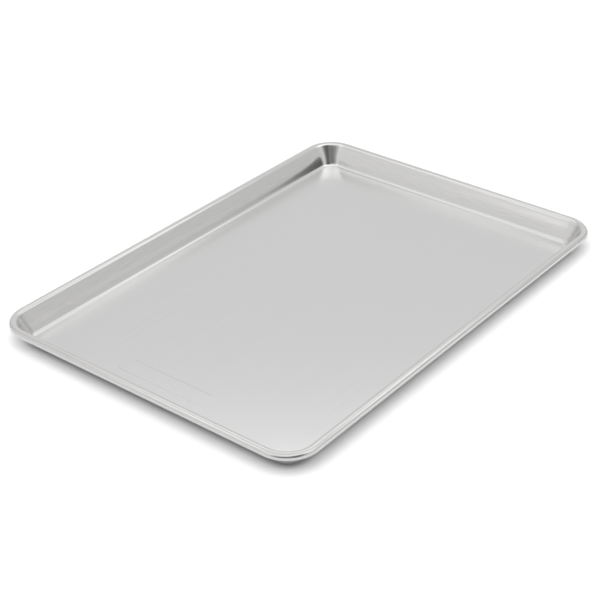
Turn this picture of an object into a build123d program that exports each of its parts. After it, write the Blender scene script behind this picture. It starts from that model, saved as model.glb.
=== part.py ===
from build123d import *
import math
import os

# Jelly roll pan: one aluminium sheet with a flat floor, rounded corners and leaning
# walls. Its edge flares out over a narrow land and curls round a steel wire.
# Millimetres, +Z up. The origin is the middle of the underside, with the long sides
# along X and the short sides along Y.

# Driving dimensions of the whole pan
outer_length = 416.0
outer_width = 289.5
pan_height = 19.5
sheet_thickness = 1.0
corner_radius = 24.2        # in plan, along the middle of the bead

# The wall, and the radii that it is drawn over
wall_lean = 27.5            # degrees from upright
inside_floor_radius = 4.0
flare_radius = 3.5          # on the face that shows
land_width = 1.0            # flat stretch between the flare and the bead

# The curl and its wire
wire_diameter = 3.5
wire_flat_count = 16        # the hidden wire's section is drawn with this many flats
wire_clearance = 0.05
curl_angle = 240.0          # degrees that the edge turns round the wire
wire_end_gap = 0.6          # between the butted ends, midway along a long side
cut_overrun = 1.0

# Radii, heights and the path of the bead's middle, from the sizes above
curl_inside_radius = wire_diameter / 2 + wire_clearance
bead_radius = curl_inside_radius + sheet_thickness
bead_height = pan_height - bead_radius
land_underside = pan_height - sheet_thickness
underside_floor_radius = inside_floor_radius + sheet_thickness
inside_flare_radius = flare_radius - sheet_thickness
path_length = outer_length - 2 * bead_radius
path_width = outer_width - 2 * bead_radius

# The wall's inner face is tangent to the flare's circle above it and to the floor's
# circle below it. Insets are measured from the middle of the bead into the pan.
lean = math.radians(wall_lean)
flare_height = pan_height - flare_radius
floor_circle_height = sheet_thickness + inside_floor_radius
both_radii = flare_radius + inside_floor_radius
face_length = (flare_height - floor_circle_height + both_radii * math.sin(lean)) / math.cos(lean)
floor_inset = land_width + both_radii * math.cos(lean) + face_length * math.sin(lean)


def on_circle(centre, radius, angle):
    """The section's point on a circle, at an angle in degrees up from the way inwards."""
    inset, height = centre
    turn = math.radians(angle)
    return (inset + radius * math.cos(turn), height + radius * math.sin(turn))


def arc(centre, radius, start, turn):
    """The section's arc about a centre, from the angle start on through turn degrees."""
    return ThreePointArc(
        on_circle(centre, radius, start),
        on_circle(centre, radius, start + turn / 2),
        on_circle(centre, radius, start + turn),
    )


def shell_section():
    """The sheet from the edge of the flat floor, over the wall, to the end of the curl."""
    floor_centre = (floor_inset, floor_circle_height)
    flare_centre = (land_width, flare_height)
    bead_centre = (0, bead_height)
    bend = 90 - wall_lean
    wall_foot = 180 + wall_lean
    curl_end = 90 + curl_angle
    return make_face([
        arc(floor_centre, inside_floor_radius, -90, -bend),
        Line(
            on_circle(floor_centre, inside_floor_radius, wall_foot),
            on_circle(flare_centre, flare_radius, wall_lean),
        ),
        arc(flare_centre, flare_radius, wall_lean, bend),
        Line((land_width, pan_height), (0, pan_height)),
        arc(bead_centre, bead_radius, 90, curl_angle),
        Line(
            on_circle(bead_centre, bead_radius, curl_end),
            on_circle(bead_centre, curl_inside_radius, curl_end),
        ),
        arc(bead_centre, curl_inside_radius, curl_end, -curl_angle),
        Line((0, land_underside), (land_width, land_underside)),
        arc(flare_centre, inside_flare_radius, 90, -bend),
        Line(
            on_circle(flare_centre, inside_flare_radius, wall_lean),
            on_circle(floor_centre, underside_floor_radius, wall_foot),
        ),
        arc(floor_centre, underside_floor_radius, wall_foot, bend),
        Line((floor_inset, 0), (floor_inset, sheet_thickness)),
    ])


def carry_round(section):
    """A section carried along all four sides and turned about the four corners."""
    solids = []
    for quarter in range(4):
        along_x = quarter % 2 == 1
        across = (path_width if along_x else path_length) / 2
        run = (path_length if along_x else path_width) - 2 * corner_radius
        turned = Rot(0, 0, 90 * quarter)
        side_start = Plane(origin=(across, -run / 2, 0), x_dir=(-1, 0, 0), z_dir=(0, 1, 0))
        side_end = Plane(origin=(across, run / 2, 0), x_dir=(-1, 0, 0), z_dir=(0, 1, 0))
        corner_axis = Axis((across - corner_radius, run / 2, 0), (0, 0, 1))
        solids.append(turned * extrude(side_start * section, amount=run))
        solids.append(turned * revolve(side_end * section, corner_axis, 90))
    return solids


def make_pan_shell():
    """The drawn sheet: rim and walls carried round the flat floor, all one piece."""
    floor = extrude(
        RectangleRounded(
            path_length - 2 * floor_inset,
            path_width - 2 * floor_inset,
            corner_radius - floor_inset,
        ),
        amount=sheet_thickness,
    )
    return floor + carry_round(shell_section())


def make_rim_wire():
    """The wire inside the curl, one loop whose ends butt midway along a long side."""
    section = Pos(0, bead_height) * RegularPolygon(wire_diameter / 2, wire_flat_count)
    first, *others = carry_round(section)
    loop = first + others
    reach = wire_diameter + 2 * cut_overrun
    gap = Pos(0, -path_width / 2, bead_height) * Box(wire_end_gap, reach, reach)
    return loop - gap


os.makedirs("parts", exist_ok=True)
for name, shape in {"pan_shell": make_pan_shell(), "rim_wire": make_rim_wire()}.items():
    export_step(shape, f"parts/{name}.step")
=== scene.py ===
import math

import bmesh
import bpy
import numpy as np
from mathutils import Matrix, Vector


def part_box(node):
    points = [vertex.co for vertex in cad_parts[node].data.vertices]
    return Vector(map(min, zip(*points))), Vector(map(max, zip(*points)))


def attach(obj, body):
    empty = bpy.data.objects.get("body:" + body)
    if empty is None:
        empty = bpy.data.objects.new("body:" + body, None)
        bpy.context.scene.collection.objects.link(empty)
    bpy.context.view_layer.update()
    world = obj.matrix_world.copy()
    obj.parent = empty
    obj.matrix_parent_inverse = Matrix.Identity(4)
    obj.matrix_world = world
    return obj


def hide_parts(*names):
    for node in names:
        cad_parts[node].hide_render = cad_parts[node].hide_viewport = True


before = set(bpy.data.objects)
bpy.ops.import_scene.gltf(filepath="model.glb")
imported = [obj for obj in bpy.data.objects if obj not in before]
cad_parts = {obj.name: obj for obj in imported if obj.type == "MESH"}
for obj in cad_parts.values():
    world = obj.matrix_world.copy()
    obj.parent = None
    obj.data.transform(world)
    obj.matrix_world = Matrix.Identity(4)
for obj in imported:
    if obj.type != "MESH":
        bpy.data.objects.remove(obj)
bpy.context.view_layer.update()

# Millimetres as metres, so that sizes below read as a maker gives them
MM = 0.001

# A quarter turn
QUARTER = math.pi / 2

# The pan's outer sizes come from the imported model
PAN_LOW, PAN_HIGH = (np.array(corner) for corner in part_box("pan_shell"))
OUTER_LENGTH, OUTER_WIDTH, PAN_HEIGHT = PAN_HIGH - PAN_LOW

# The sheet and its section
SHEET_THICKNESS = 1.0 * MM
WALL_LEAN = math.radians(27.5)
INSIDE_FLOOR_RADIUS = 4.0 * MM
FLARE_RADIUS = 3.5 * MM
LAND_WIDTH = 1.0 * MM
CURL_ANGLE = math.radians(240)
CORNER_RADIUS = 24.2 * MM
WALL_BOW = 0.5 * MM

# The wire, the gap between its ends, and the share of its radius that is worn off them
WIRE_DIAMETER = 3.5 * MM
WIRE_CLEARANCE = 0.05 * MM
WIRE_END_GAP = 0.6 * MM
WORN_SHARE = 0.15

# The blank panel pressed into the floor beside one short side
PANEL_CENTRE = (-168.5 * MM, 7.0 * MM)
PANEL_HALF = (8.0 * MM, 41.0 * MM)
PANEL_CORNER = 3.0 * MM
PANEL_RISE = 0.36 * MM
PANEL_SLOPE = 1.0 * MM

# The section's circles, and how far the flat floor starts inside the middle of the bead
CURL_INSIDE_RADIUS = WIRE_DIAMETER / 2 + WIRE_CLEARANCE
BEAD_RADIUS = CURL_INSIDE_RADIUS + SHEET_THICKNESS
BEAD_HEIGHT = PAN_HEIGHT - BEAD_RADIUS
INSIDE_FLARE_RADIUS = FLARE_RADIUS - SHEET_THICKNESS
FLARE_HEIGHT = PAN_HEIGHT - FLARE_RADIUS
UNDERSIDE_FLOOR_RADIUS = INSIDE_FLOOR_RADIUS + SHEET_THICKNESS
FLOOR_CIRCLE_HEIGHT = SHEET_THICKNESS + INSIDE_FLOOR_RADIUS
BOTH_RADII = FLARE_RADIUS + INSIDE_FLOOR_RADIUS
FACE_RISE = FLARE_HEIGHT - FLOOR_CIRCLE_HEIGHT + BOTH_RADII * math.sin(WALL_LEAN)
FACE_LENGTH = FACE_RISE / math.cos(WALL_LEAN)
FLOOR_INSET = LAND_WIDTH + BOTH_RADII * math.cos(WALL_LEAN) + FACE_LENGTH * math.sin(WALL_LEAN)

# Half sizes of the bead's path, of the flat floor and of the straight stretches between
# the corners, and the floor's corner radius
PATH_HALF_X = OUTER_LENGTH / 2 - BEAD_RADIUS
PATH_HALF_Y = OUTER_WIDTH / 2 - BEAD_RADIUS
FLOOR_HALF_X = PATH_HALF_X - FLOOR_INSET
FLOOR_HALF_Y = PATH_HALF_Y - FLOOR_INSET
FLOOR_CORNER = CORNER_RADIUS - FLOOR_INSET
STRAIGHT_HALF_X = FLOOR_HALF_X - FLOOR_CORNER
STRAIGHT_HALF_Y = FLOOR_HALF_Y - FLOOR_CORNER

# Steps of the meshes
FLOOR_ARC_STEPS = 9
WALL_STEPS = 12
FLARE_ARC_STEPS = 9
INSIDE_FLARE_STEPS = 7
BEAD_STEPS = 40
BEAD_INSIDE_STEPS = 26
CORNER_STEPS = 12           # in each half of a corner
WIRE_SIDES = 32
STRAIGHT_LINES = 25         # of the floor's grid, between two corners
SLOPE_LINES = 14            # of the floor's grid, over a slope of the panel

# Where the section's bead starts, how many points it has, and the first of the points that
# lie low on the bead, in the curl or under the sheet, which are given painted shade
BRIGHT_BEAD_SHARE = 0.30    # of the bead's outer arc, from its top
BEAD_START = FLOOR_ARC_STEPS + WALL_STEPS + FLARE_ARC_STEPS + 2
BEAD_POINTS = BEAD_STEPS + BEAD_INSIDE_STEPS + 2
OUTER_SIDE_START = BEAD_START + int(BEAD_STEPS * BRIGHT_BEAD_SHARE)

# How near points are merged, and how far edges may bend and still look smooth
MERGE_DISTANCE = 0.002 * MM
SHARP_ANGLE = math.radians(50)

# Heights over which the floor's look turns into the wall's: from 0 up in the corners, and
# from a start up along the sides
CORNER_TURN = 4 * MM
SIDE_TURN_START = 2.5 * MM
SIDE_TURN = 3 * MM

# How far the draw has rubbed the floor smooth, out from each of its corners, and how much
# of that is lost up the wall
RUBBED_REACH = 45 * MM
RUBBED_LOSS = 0.65

# The map that the grain follows, in metres along the sheet and across it
GRAIN_MAP = "along_and_across"

# Noises, as scales per metre along three axes and a detail
NOISE_ROUGHNESS = 0.6
FINE_GRAIN = ((25.0, 2600.0, 1.0), 3.0)
BROAD_GRAIN = ((6.0, 260.0, 1.0), 4.0)
WALL_STREAKS = ((55.0, 1700.0, 1.0), 2.0)
DRAW_LINES = ((900.0, 40.0, 1.0), 3.0)
MOTTLE = ((14.0, 14.0, 14.0), 3.0)
SPANGLE = ((400.0, 400.0, 400.0), 4.0)

# Roughness of the flat floor, and what each look or noise adds to it where it is 1
FLOOR_ROUGHNESS = 0.18
WALL_ROUGHNESS = -0.06
CORNER_ROUGHNESS = 0.04
RUBBED_ROUGHNESS = -0.10
FINE_ROUGHNESS = 0.04
BROAD_ROUGHNESS = 0.03
MOTTLE_ROUGHNESS = 0.05

# Roughness of the wire, and what its spangle adds
ZINC_ROUGHNESS = 0.3
SPANGLE_ROUGHNESS = 0.3

# Tones, each from one value of a noise and its colour to another
FLOOR_TONES = ((0.3, (0.838, 0.838, 0.837)), (0.7, (0.852, 0.852, 0.851)))
WALL_TONES = ((0.35, (0.812, 0.806, 0.794)), (0.65, (0.882, 0.876, 0.864)))
ZINC_TONES = ((0.0, (0.42, 0.43, 0.44)), (1.0, (0.66, 0.67, 0.68)))
# Painted shade: a darker base colour for the bead's lower part, the curl and the sheet's outer
# face, standing in for the shade they lie in
OUTER_SIDE_PAINTED_SHADE = (0.55, 0.55, 0.55, 1)

# Relief of the grain, and how much the corners' draw lines count beside it
GRAIN_STRENGTH = 0.2
GRAIN_DEPTH = 0.002 * MM
DRAW_LINE_WEIGHT = 2.0

# The white sweep: half its side in metres, how far it lies below the pan's underside, how
# near the pan darkens it with painted contact shadow, and its tones from one share of open air
# to another
STAGE_HALF = 12.0
STAGE_DROP = 0.02 * MM
CONTACT_REACH = 7 * MM
CONTACT_SAMPLES = 8
OPEN_SHARES = (0.25, 0.7)
SWEEP_TONES = (0.5, 0.9)

# The camera, placed as seen from its target, and its lens in millimetres
CAMERA_AZIMUTH = math.radians(-51.75)
CAMERA_ELEVATION = math.radians(31.38)
CAMERA_ROLL = math.radians(-0.31)
CAMERA_DISTANCE = 1167.4 * MM
CAMERA_TARGET = Vector((-16.74 * MM, 0.28 * MM, 0))
CAMERA_LENS = 87.8

# The studio's light by direction. A patch has an azimuth in degrees from the camera's side,
# turning towards its right, an elevation, and the angles within which it is full and gone.
# Then comes the light that it adds, or the share that it takes.
PLAIN_LIGHT = 0.58
BRIGHT_PATCHES = (
    ((17, 66, 18, 66), 0.31),
    ((180, 22, 8, 42), 0.13),
    ((95, 60, 8, 40), 0.10),
    ((-80, 18, 10, 50), 0.13),
    ((88, 4, 3, 13), 0.13),
)
DIM_PATCHES = (
    ((10, 18, 12, 41), 0.72),
    ((-18, 8, 8, 32), 0.60),
    ((38, 40, 10, 24), 0.76),
    ((-32, 38, 6, 18), 0.30),
    ((-170, 82, 6, 26), 0.09),
)
HORIZON_SHARE = 0.65        # of the light, left at the horizon
HORIZON_SINE = 0.24         # of the elevation where all of it is back

# The lamp that lights the white sweep, with its azimuth and elevation given as a patch's
TOP_LAMP_PLACE = (-5, 56)
TOP_LAMP_STRENGTH = 2.5
TOP_LAMP_ANGLE = math.radians(60)

# The soft boxes over the metal: size away from the camera and across, middle, radiance
SOFT_BOXES = (
    ((180 * MM, 640 * MM), (214 * MM, 128 * MM, 380 * MM), 0.26),
    ((240 * MM, 260 * MM), (290 * MM, -225 * MM, 380 * MM), 0.40),
    ((220 * MM, 220 * MM), (-262 * MM, 192 * MM, 380 * MM), 0.34),
)


def arc(centre, radius, start, turn, steps):
    """Points centre + radius (cos, sin) of angles spaced evenly from start through turn."""
    angle = start + turn * np.linspace(0, 1, steps + 1)
    return np.stack([centre[0] + radius * np.cos(angle), centre[1] + radius * np.sin(angle)], -1)


def wall_line(floor_radius, flare_radius):
    """Points between the wall's two tangent points, on circles of these radii."""
    foot = arc((FLOOR_INSET, FLOOR_CIRCLE_HEIGHT), floor_radius, math.pi + WALL_LEAN, 0, 1)[0]
    head = arc((LAND_WIDTH, FLARE_HEIGHT), flare_radius, WALL_LEAN, 0, 1)[0]
    share = np.linspace(0, 1, WALL_STEPS + 2)[1:-1, None]
    return foot + share * (head - foot)


def shell_section():
    """The sheet's outline as (inset, height): up the inner face, round the curl and back
    down the outer face, as arcs joined by straight runs. Insets go into the pan from the
    middle of the bead."""
    floor = (FLOOR_INSET, FLOOR_CIRCLE_HEIGHT)
    flare = (LAND_WIDTH, FLARE_HEIGHT)
    bead = (0.0, BEAD_HEIGHT)
    bend = QUARTER - WALL_LEAN
    curl_end = QUARTER + CURL_ANGLE
    return np.concatenate([
        arc(floor, INSIDE_FLOOR_RADIUS, -QUARTER, -bend, FLOOR_ARC_STEPS),
        wall_line(INSIDE_FLOOR_RADIUS, FLARE_RADIUS),
        arc(flare, FLARE_RADIUS, WALL_LEAN, bend, FLARE_ARC_STEPS),
        arc(bead, BEAD_RADIUS, QUARTER, CURL_ANGLE, BEAD_STEPS),
        arc(bead, CURL_INSIDE_RADIUS, curl_end, -CURL_ANGLE, BEAD_INSIDE_STEPS),
        arc(flare, INSIDE_FLARE_RADIUS, QUARTER, -bend, INSIDE_FLARE_STEPS),
        wall_line(UNDERSIDE_FLOOR_RADIUS, INSIDE_FLARE_RADIUS)[::-1],
        arc(floor, UNDERSIDE_FLOOR_RADIUS, math.pi + WALL_LEAN, bend, FLOOR_ARC_STEPS),
    ])


def floor_lines(straight, panel_middle, panel_half):
    """Places of the floor's grid lines along one axis, whose straight stretch has this half
    length. In the corner they are the root of two times the sine of evenly spaced angles,
    so that the corner's edge points come out evenly on its arc. Between the corners they
    close up at the panel's slopes."""
    angle = np.linspace(0, math.pi / 4, CORNER_STEPS + 1)[1:]
    corner = straight + FLOOR_CORNER * math.sqrt(2) * np.sin(angle)
    near = np.linspace(-PANEL_SLOPE, PANEL_SLOPE + PANEL_CORNER, SLOPE_LINES)
    low = panel_middle - panel_half + near
    high = panel_middle + panel_half - near[::-1]
    even = np.linspace(-straight, straight, STRAIGHT_LINES)
    clear = (even < low[0] - PANEL_SLOPE) | (even > high[-1] + PANEL_SLOPE)
    clear |= (even > low[-1] + PANEL_SLOPE) & (even < high[0] - PANEL_SLOPE)
    inner = np.sort(np.concatenate([even[clear], low, high]))
    return np.concatenate([-corner[::-1], inner, corner])


def round_corners(x, y):
    """Rectangle to rounded rectangle: past the straight stretches, p and q in units of the
    corner radius go to p sqrt(1 - q q / 2) and q sqrt(1 - p p / 2)."""
    p = np.maximum(np.abs(x) - STRAIGHT_HALF_X, 0) / FLOOR_CORNER
    q = np.maximum(np.abs(y) - STRAIGHT_HALF_Y, 0) / FLOOR_CORNER
    new_p = p * np.sqrt(1 - q * q / 2)
    new_q = q * np.sqrt(1 - p * p / 2)
    return (
        np.sign(x) * (np.minimum(np.abs(x), STRAIGHT_HALF_X) + FLOOR_CORNER * new_p),
        np.sign(y) * (np.minimum(np.abs(y), STRAIGHT_HALF_Y) + FLOOR_CORNER * new_q),
    )


def panel_relief(x, y):
    """Height of the pressed panel: its rise times 3 t t - 2 t t t, where t goes from 0 to 1
    over the slope, by the distance in from a rectangle with round corners."""
    dx = np.abs(x - PANEL_CENTRE[0]) - (PANEL_HALF[0] - PANEL_CORNER)
    dy = np.abs(y - PANEL_CENTRE[1]) - (PANEL_HALF[1] - PANEL_CORNER)
    outside = np.hypot(np.maximum(dx, 0), np.maximum(dy, 0))
    distance = outside + np.minimum(np.maximum(dx, dy), 0) - PANEL_CORNER
    step = np.clip(-distance / PANEL_SLOPE, 0, 1)
    return PANEL_RISE * step * step * (3 - 2 * step)


def floor_points(x_lines, y_lines):
    """The grid's points on the floor's inner face and on its underside."""
    x, y = round_corners(*np.meshgrid(x_lines, y_lines, indexing="ij"))
    rise = panel_relief(x, y)
    return [
        np.stack([x, y, height + rise], -1).reshape(-1, 3)
        for height in (SHEET_THICKNESS, 0)
    ]


def edge_loop(x_lines, y_lines):
    """The floor grid's edge points, once round from the corner at low x and low y and back
    to it, as points on the rounded rectangle and as outward directions."""
    x = np.concatenate([
        x_lines[:-1], np.full(len(y_lines) - 1, x_lines[-1]),
        x_lines[:0:-1], np.full(len(y_lines), x_lines[0]),
    ])
    y = np.concatenate([
        np.full(len(x_lines) - 1, y_lines[0]), y_lines[:-1],
        np.full(len(x_lines) - 1, y_lines[-1]), y_lines[::-1],
    ])
    px, py = round_corners(x, y)
    out_x = px - np.clip(px, -STRAIGHT_HALF_X, STRAIGHT_HALF_X)
    out_y = py - np.clip(py, -STRAIGHT_HALF_Y, STRAIGHT_HALF_Y)
    length = np.hypot(out_x, out_y)
    return px, py, out_x / length, out_y / length


def carried_section(section, edge, turn):
    """The section carried along the floor's edge. The point at an inset lies floor inset
    minus inset further out along the edge's outward direction. Between the corners the wall
    has sprung inwards a little after the draw, by the bow times the squared sine of pi
    times its share of the height, so that its foot stands steeper."""
    px, py, out_x, out_y = (row[:, None] for row in edge)
    share = np.clip(section[:, 1] / (PAN_HEIGHT - SHEET_THICKNESS), 0, 1)
    bow = WALL_BOW * np.sin(math.pi * share) ** 2
    bow[BEAD_START:BEAD_START + BEAD_POINTS] = 0
    out = (FLOOR_INSET - section[:, 0])[None, :] - (1 - turn)[:, None] * bow
    height = np.broadcast_to(section[:, 1], out.shape)
    return np.stack([px + out_x * out, py + out_y * out, height], -1).reshape(-1, 3)


def look_values(height, turn, section_points):
    """How far each carried point has the look of the wall, of a corner's wall and of the
    outer side's painted shade. In a corner the wall's look comes in lower down than along the
    sides."""
    in_turn = np.repeat(turn, section_points)
    early = np.clip(height / CORNER_TURN, 0, 1)
    late = np.clip((height - SIDE_TURN_START) / SIDE_TURN, 0, 1)
    return {
        "wall": late + (early - late) * in_turn,
        "corner": in_turn * early,
        "outer_side_painted_shade": np.tile(np.arange(section_points) >= OUTER_SIDE_START, len(turn)),
    }


def grid_faces(rows, columns, first=0):
    """Corner numbers of the quads of a grid of rows by columns points, starting at first."""
    point = first + np.arange(rows * columns).reshape(rows, columns)
    corners = [point[:-1, :-1], point[1:, :-1], point[1:, 1:], point[:-1, 1:]]
    return np.stack(corners, -1).reshape(-1, 4)


def grid_uv(along, across):
    """A (u, v) for each point of a grid, from the lengths along it and across it."""
    return np.stack(np.meshgrid(along, across, indexing="ij"), -1).reshape(-1, 2)


def length_along(x, y):
    """The length of a line of points up to each of them."""
    return np.append(0, np.cumsum(np.hypot(np.diff(x), np.diff(y))))


def pan_mesh():
    """The whole sheet. The floor is a grid with rounded corners, twice, for its two faces.
    The wall and curl are the section carried along the floor's edge. Twice the product of
    the outward direction's parts is 0 along the sides and 1 midway round a corner."""
    x_lines = floor_lines(STRAIGHT_HALF_X, PANEL_CENTRE[0], PANEL_HALF[0])
    y_lines = floor_lines(STRAIGHT_HALF_Y, PANEL_CENTRE[1], PANEL_HALF[1])
    top, under = floor_points(x_lines, y_lines)
    section = shell_section()
    edge = edge_loop(x_lines, y_lines)
    px, py, out_x, out_y = edge
    turn = 2 * np.abs(out_x * out_y)
    carried = carried_section(section, edge, turn)

    quads = grid_faces(len(x_lines), len(y_lines))
    faces = np.concatenate([
        quads,
        quads[:, ::-1] + len(top),
        grid_faces(len(px), len(section), 2 * len(top)),
    ])
    midway = FLOOR_INSET / 2
    run = length_along(px + midway * out_x, py + midway * out_y)
    uv = np.concatenate([top[:, :2], under[:, :2], grid_uv(run, length_along(*section.T))])
    flat = np.zeros(2 * len(top))
    looks = look_values(carried[:, 2], turn, len(section))
    values = {name: np.append(flat, share) for name, share in looks.items()}
    return np.concatenate([top, under, carried]), faces, uv[faces], values


def wire_mesh():
    """The wire: a circle carried round the bead's path, four quarter turns joined by
    straight runs, from one side of the butt to the other. Each end closes to its middle
    over a small worn edge."""
    radius = WIRE_DIAMETER / 2
    corner_points = 2 * CORNER_STEPS + 1
    signs = np.repeat([(1, -1), (1, 1), (-1, 1), (-1, -1)], corner_points, axis=0)
    quarters = np.repeat(np.arange(4), corner_points)
    turn = QUARTER * (quarters + np.tile(np.linspace(0, 1, corner_points), 4)) - QUARTER
    x = STRAIGHT_HALF_X * signs[:, 0] + CORNER_RADIUS * np.cos(turn)
    y = STRAIGHT_HALF_Y * signs[:, 1] + CORNER_RADIUS * np.sin(turn)

    butt = WIRE_END_GAP / 2
    end_x = np.array([butt, butt, butt + WORN_SHARE * radius])
    end_y = np.full(len(end_x), -PATH_HALF_Y)
    x = np.concatenate([end_x, x, -end_x[::-1]])
    y = np.concatenate([end_y, y, end_y])
    turn = np.pad(turn, len(end_x), mode="edge")
    reach = np.full((len(x), 1), radius)
    reach[:2, 0] *= (0, 1 - WORN_SHARE)
    reach[-2:, 0] *= (1 - WORN_SHARE, 0)

    around = np.linspace(0, 4 * QUARTER, WIRE_SIDES + 1)
    aside = reach * np.cos(around)
    points = np.stack([
        x[:, None] + np.cos(turn)[:, None] * aside,
        y[:, None] + np.sin(turn)[:, None] * aside,
        BEAD_HEIGHT + reach * np.sin(around),
    ], -1).reshape(-1, 3)
    faces = grid_faces(len(x), len(around))
    uv = grid_uv(length_along(x, y), radius * around)
    return points, faces, uv[faces], {}


def merge_and_turn_outwards(mesh):
    """Points that coincide become one, and every face looks out of the closed solid."""
    work = bmesh.new()
    work.from_mesh(mesh)
    bmesh.ops.remove_doubles(work, verts=work.verts, dist=MERGE_DISTANCE)
    bmesh.ops.recalc_face_normals(work, faces=work.faces)
    work.to_mesh(mesh)
    work.free()


def mesh_object(name, points, faces, face_uv, point_values):
    """A mesh object from points, quads, one (u, v) per quad corner and named values per
    point, with its doubles merged, its faces turned outwards and its edges smooth below the
    sharp angle."""
    mesh = bpy.data.meshes.new(name)
    mesh.vertices.add(len(points))
    mesh.vertices.foreach_set("co", points.astype(np.float32).ravel())
    mesh.loops.add(faces.size)
    mesh.loops.foreach_set("vertex_index", faces.astype(np.int32).ravel())
    mesh.polygons.add(len(faces))
    mesh.polygons.foreach_set("loop_start", np.arange(0, faces.size, 4, dtype=np.int32))
    mesh.update(calc_edges=True)
    layer = mesh.uv_layers.new(name=GRAIN_MAP)
    layer.data.foreach_set("uv", face_uv.astype(np.float32).ravel())
    for key, values in point_values.items():
        attribute = mesh.attributes.new(key, "FLOAT", "POINT")
        attribute.data.foreach_set("value", values.astype(np.float32).ravel())
    merge_and_turn_outwards(mesh)
    mesh.polygons.foreach_set("use_smooth", np.ones(len(mesh.polygons), dtype=bool))
    mesh.set_sharp_from_angle(angle=SHARP_ANGLE)
    piece = bpy.data.objects.new(name, mesh)
    bpy.context.scene.collection.objects.link(piece)
    return piece


def node(tree, kind, inputs, **settings):
    """A new node of a kind with its settings. Each input, by name or number, is linked
    where its value is another node's output, or else set."""
    made = tree.nodes.new(kind)
    for key, value in settings.items():
        setattr(made, key, value)
    for key, value in inputs.items():
        if isinstance(value, bpy.types.NodeSocket):
            tree.links.new(value, made.inputs[key])
        else:
            made.inputs[key].default_value = value
    return made


def math_node(tree, operation, *values):
    """The value of an operation on sockets or numbers."""
    return node(tree, "ShaderNodeMath", dict(enumerate(values)), operation=operation).outputs[0]


def weighted_sum(tree, start, terms):
    """A start plus every term's value times its weight."""
    total = start
    for value, weight in terms:
        total = math_node(tree, "MULTIPLY_ADD", value, weight, total)
    return total


def ramp(tree, value, start, end, low=0.0, high=1.0, shape="SMOOTHSTEP"):
    """Low to high as a value goes from start to end, and level on either side."""
    return node(tree, "ShaderNodeMapRange", {
        "Value": value,
        "From Min": start,
        "From Max": end,
        "To Min": low,
        "To Max": high,
    }, interpolation_type=shape).outputs["Result"]


def tone_ramp(tree, value, tones):
    """The colour between two tones by a value."""
    made = node(tree, "ShaderNodeValToRGB", {"Fac": value})
    for element, (place, colour) in zip(made.color_ramp.elements, tones):
        element.position = place
        element.color = (*colour, 1)
    return made.outputs["Color"]


def mix(tree, share, first, second):
    """The first colour, going over to the second by a share."""
    inputs = {"Fac": share, "Color1": first, "Color2": second}
    return node(tree, "ShaderNodeMixRGB", inputs).outputs["Color"]


def stretched_noise(tree, source, scale, detail):
    """Noise of a coordinate whose axes are each multiplied by a scale, 0 to 1."""
    mapping = node(tree, "ShaderNodeMapping", {"Vector": source, "Scale": scale})
    return node(tree, "ShaderNodeTexNoise", {
        "Vector": mapping.outputs["Vector"],
        "Scale": 1.0,
        "Detail": detail,
        "Roughness": NOISE_ROUGHNESS,
    }).outputs["Fac"]


def attribute_value(tree, name):
    """The value of a mesh attribute."""
    return node(tree, "ShaderNodeAttribute", {}, attribute_name=name).outputs["Fac"]


def object_place(tree):
    """The place on the object, in metres."""
    return node(tree, "ShaderNodeTexCoord", {}).outputs["Object"]


def near_corners(tree, place):
    """1 in the floor's four corners, falling smoothly to 0 at the rubbed reach from them."""
    corner = (FLOOR_HALF_X, FLOOR_HALF_Y, SHEET_THICKNESS)
    mirrored = node(tree, "ShaderNodeVectorMath", {0: place}, operation="ABSOLUTE")
    away = node(tree, "ShaderNodeVectorMath", {
        0: mirrored.outputs["Vector"],
        1: corner,
    }, operation="DISTANCE")
    return ramp(tree, away.outputs["Value"], RUBBED_REACH, 0.0)


def metal(name):
    """A new bare metal, its node tree and its Principled shader."""
    material = bpy.data.materials.new(name)
    material.use_nodes = True
    shader = material.node_tree.nodes["Principled BSDF"]
    shader.inputs["Metallic"].default_value = 1.0
    return material, material.node_tree, shader


def satin_aluminium():
    """Bare rolled aluminium. Its grain runs along the sheet and the walls, and draw lines
    cross it in the corners. It is smoother up the walls than on the floor, a little less so
    up the corners' walls, and smoothest where the draw has rubbed the floor near its
    corners. Its roughness moves a little with the grain and with broad mottling."""
    material, tree, shader = metal("satin_aluminium")
    along = node(tree, "ShaderNodeUVMap", {}, uv_map=GRAIN_MAP).outputs["UV"]
    place = object_place(tree)
    wall = attribute_value(tree, "wall")
    corner = attribute_value(tree, "corner")
    fine = stretched_noise(tree, along, *FINE_GRAIN)
    broad = stretched_noise(tree, along, *BROAD_GRAIN)
    streaks = stretched_noise(tree, along, *WALL_STREAKS)

    kept = math_node(tree, "MULTIPLY_ADD", wall, -RUBBED_LOSS, 1.0)
    rubbed = math_node(tree, "MULTIPLY", near_corners(tree, place), kept)
    rough = weighted_sum(tree, FLOOR_ROUGHNESS, (
        (wall, WALL_ROUGHNESS),
        (corner, CORNER_ROUGHNESS),
        (rubbed, RUBBED_ROUGHNESS),
        (fine, FINE_ROUGHNESS),
        (broad, BROAD_ROUGHNESS),
        (stretched_noise(tree, place, *MOTTLE), MOTTLE_ROUGHNESS),
    ))
    tree.links.new(rough, shader.inputs["Roughness"])

    floor_tone = tone_ramp(tree, broad, FLOOR_TONES)
    wall_tone = tone_ramp(tree, streaks, WALL_TONES)
    bright = mix(tree, wall, floor_tone, wall_tone)
    # Painted shade: the bead's lower part, the curl and the outer face go over to a darker base
    # colour
    tone = mix(tree, attribute_value(tree, "outer_side_painted_shade"), bright, OUTER_SIDE_PAINTED_SHADE)
    tree.links.new(tone, shader.inputs["Base Color"])

    drawn = math_node(tree, "MULTIPLY", stretched_noise(tree, along, *DRAW_LINES), corner)
    bump = node(tree, "ShaderNodeBump", {
        "Height": weighted_sum(tree, fine, [(drawn, DRAW_LINE_WEIGHT)]),
        "Strength": GRAIN_STRENGTH,
        "Distance": GRAIN_DEPTH,
    })
    tree.links.new(bump.outputs["Normal"], shader.inputs["Normal"])
    return material


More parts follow.
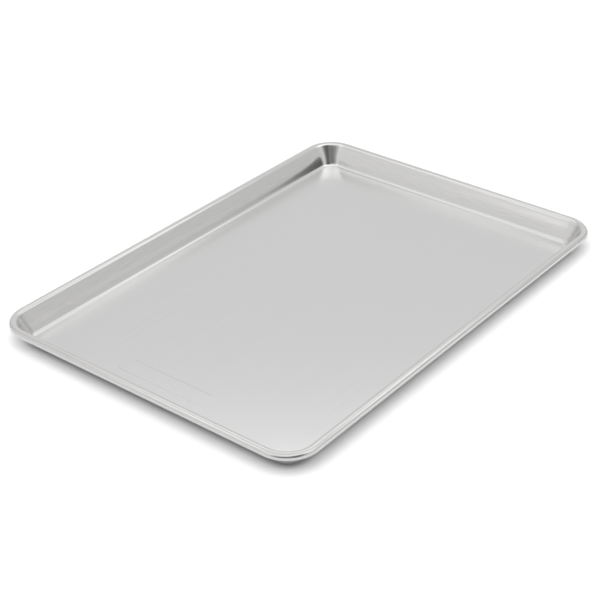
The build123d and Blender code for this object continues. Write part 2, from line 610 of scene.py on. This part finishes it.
def zinc_coated_wire():
    """Galvanised steel: a dull grey metal with cloudy spangle."""
    material, tree, shader = metal("zinc_coated_wire")
    cloud = stretched_noise(tree, object_place(tree), *SPANGLE)
    rough = weighted_sum(tree, ZINC_ROUGHNESS, [(cloud, SPANGLE_ROUGHNESS)])
    tree.links.new(tone_ramp(tree, cloud, ZINC_TONES), shader.inputs["Base Color"])
    tree.links.new(rough, shader.inputs["Roughness"])
    return material


def white_floor():
    """The plain white sweep that the pan stands on. It is darker where the pan closes it in
    within a few millimetres, as contact shadows are."""
    material = bpy.data.materials.new("white_sweep")
    material.use_nodes = True
    tree = material.node_tree
    tree.nodes.remove(tree.nodes["Principled BSDF"])
    # Painted contact shadow: the sweep's colour darkens where the pan closes it in, by ambient
    # occlusion
    open_air = node(tree, "ShaderNodeAmbientOcclusion", {
        "Distance": CONTACT_REACH,
    }, samples=CONTACT_SAMPLES).outputs["AO"]
    tone = ramp(tree, open_air, *OPEN_SHARES, *SWEEP_TONES, shape="LINEAR")
    matt = node(tree, "ShaderNodeBsdfDiffuse", {"Color": tone})
    tree.links.new(matt.outputs[0], tree.nodes["Material Output"].inputs["Surface"])
    return material


def make_pan():
    """The aluminium pan, fine enough for its bead and corners to read as round."""
    pan = mesh_object("aluminium_pan", *pan_mesh())
    pan.data.materials.append(satin_aluminium())
    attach(pan, "root")
    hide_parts("pan_shell")
    return pan


def make_wire():
    """The steel wire that the rim is curled round, seen only from below."""
    wire = mesh_object("steel_wire", *wire_mesh())
    wire.data.materials.append(zinc_coated_wire())
    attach(wire, "root")
    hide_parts("rim_wire")
    return wire


def make_stage():
    """A wide white floor."""
    signs = ((-1, -1), (1, -1), (1, 1), (-1, 1))
    corners = [(STAGE_HALF * x, STAGE_HALF * y, 0) for x, y in signs]
    mesh = bpy.data.meshes.new("white_sweep")
    mesh.from_pydata(corners, [], [(0, 1, 2, 3)])
    floor = bpy.data.objects.new("white_sweep", mesh)
    floor.location.z = -STAGE_DROP
    floor.data.materials.append(white_floor())
    bpy.context.scene.collection.objects.link(floor)
    return floor


def make_camera():
    """The camera, placed by azimuth, elevation and distance from what it looks at."""
    back = Vector((
        math.sin(CAMERA_AZIMUTH) * math.cos(CAMERA_ELEVATION),
        -math.cos(CAMERA_AZIMUTH) * math.cos(CAMERA_ELEVATION),
        math.sin(CAMERA_ELEVATION),
    ))
    level = Vector((0, 0, 1)).cross(back).normalized()
    rise = back.cross(level)
    right = level * math.cos(CAMERA_ROLL) + rise * math.sin(CAMERA_ROLL)
    up = back.cross(right)
    data = bpy.data.cameras.new("photo_camera")
    data.lens = CAMERA_LENS
    camera = bpy.data.objects.new("photo_camera", data)
    turn = Matrix((right, up, back)).transposed().to_4x4()
    camera.matrix_world = Matrix.Translation(CAMERA_TARGET + back * CAMERA_DISTANCE) @ turn
    bpy.context.scene.collection.objects.link(camera)
    bpy.context.scene.camera = camera


def studio_direction(azimuth, elevation):
    """The unit vector of a direction given from the camera's side, in degrees."""
    turn = CAMERA_AZIMUTH - QUARTER + math.radians(azimuth)
    rise = math.radians(elevation)
    return (math.cos(turn) * math.cos(rise), math.sin(turn) * math.cos(rise), math.sin(rise))


def patch(tree, direction, azimuth, elevation, full, gone):
    """1 within the angle full of a direction, falling smoothly to 0 at the angle gone."""
    cosine = node(tree, "ShaderNodeVectorMath", {
        0: direction,
        1: studio_direction(azimuth, elevation),
    }, operation="DOT_PRODUCT").outputs["Value"]
    return ramp(tree, cosine, math.cos(math.radians(gone)), math.cos(math.radians(full)))


def make_light():
    """A bright room of soft light: brighter overhead, beyond the pan and on both sides of
    it, dimmer in places, mostly on the camera's side, and dimmer all round towards the
    horizon."""
    world = bpy.data.worlds.new("studio")
    bpy.context.scene.world = world
    world.use_nodes = True
    tree = world.node_tree
    direction = node(tree, "ShaderNodeTexCoord", {}).outputs["Generated"]
    height = node(tree, "ShaderNodeSeparateXYZ", {0: direction}).outputs["Z"]
    light = weighted_sum(tree, PLAIN_LIGHT, [
        (patch(tree, direction, *where), gain) for where, gain in BRIGHT_PATCHES
    ])
    above_horizon = ramp(tree, height, 0.0, HORIZON_SINE, HORIZON_SHARE)
    light = math_node(tree, "MULTIPLY", light, above_horizon)
    for where, depth in DIM_PATCHES:
        dim = patch(tree, direction, *where)
        kept = math_node(tree, "MULTIPLY_ADD", dim, -depth, 1.0)
        light = math_node(tree, "MULTIPLY", light, kept)
    tree.links.new(light, tree.nodes["Background"].inputs["Color"])
    bpy.context.scene.view_settings.view_transform = "Standard"


def lit_alone(name, pieces):
    """A collection of the only pieces that a lamp lights."""
    lit = bpy.data.collections.new(name)
    for piece in pieces:
        lit.objects.link(piece)
    return lit


def make_top_lamp(floor):
    """A wide soft light from above that falls on the white sweep alone."""
    lamp = bpy.data.objects.new("top_lamp", bpy.data.lights.new("top_lamp", "SUN"))
    lamp.data.energy = TOP_LAMP_STRENGTH
    lamp.data.angle = TOP_LAMP_ANGLE
    towards = Vector(studio_direction(*TOP_LAMP_PLACE))
    lamp.rotation_euler = towards.to_track_quat("Z", "Y").to_euler()
    bpy.context.scene.collection.objects.link(lamp)
    lamp.light_linking.receiver_collection = lit_alone("lit_by_top_lamp", [floor])


def make_soft_boxes(pieces):
    """Low soft boxes over the far side of the pan and beside it, for the metal alone. Their
    nearness makes the rim and the floor brighter near the camera than far from it. A box's
    power is its radiance times pi times its area."""
    away = Vector(studio_direction(180, 0))
    lit = lit_alone("lit_by_soft_boxes", pieces)
    for size, place, radiance in SOFT_BOXES:
        lamp = bpy.data.objects.new("soft_box", bpy.data.lights.new("soft_box", "AREA"))
        lamp.data.shape = "RECTANGLE"
        lamp.data.size, lamp.data.size_y = size
        lamp.data.energy = radiance * math.pi * size[0] * size[1]
        lamp.location = place
        lamp.rotation_euler.z = math.atan2(away.y, away.x)
        lamp.light_linking.receiver_collection = lit
        bpy.context.scene.collection.objects.link(lamp)


make_camera()
make_light()
make_top_lamp(make_stage())
make_soft_boxes([make_pan(), make_wire()])
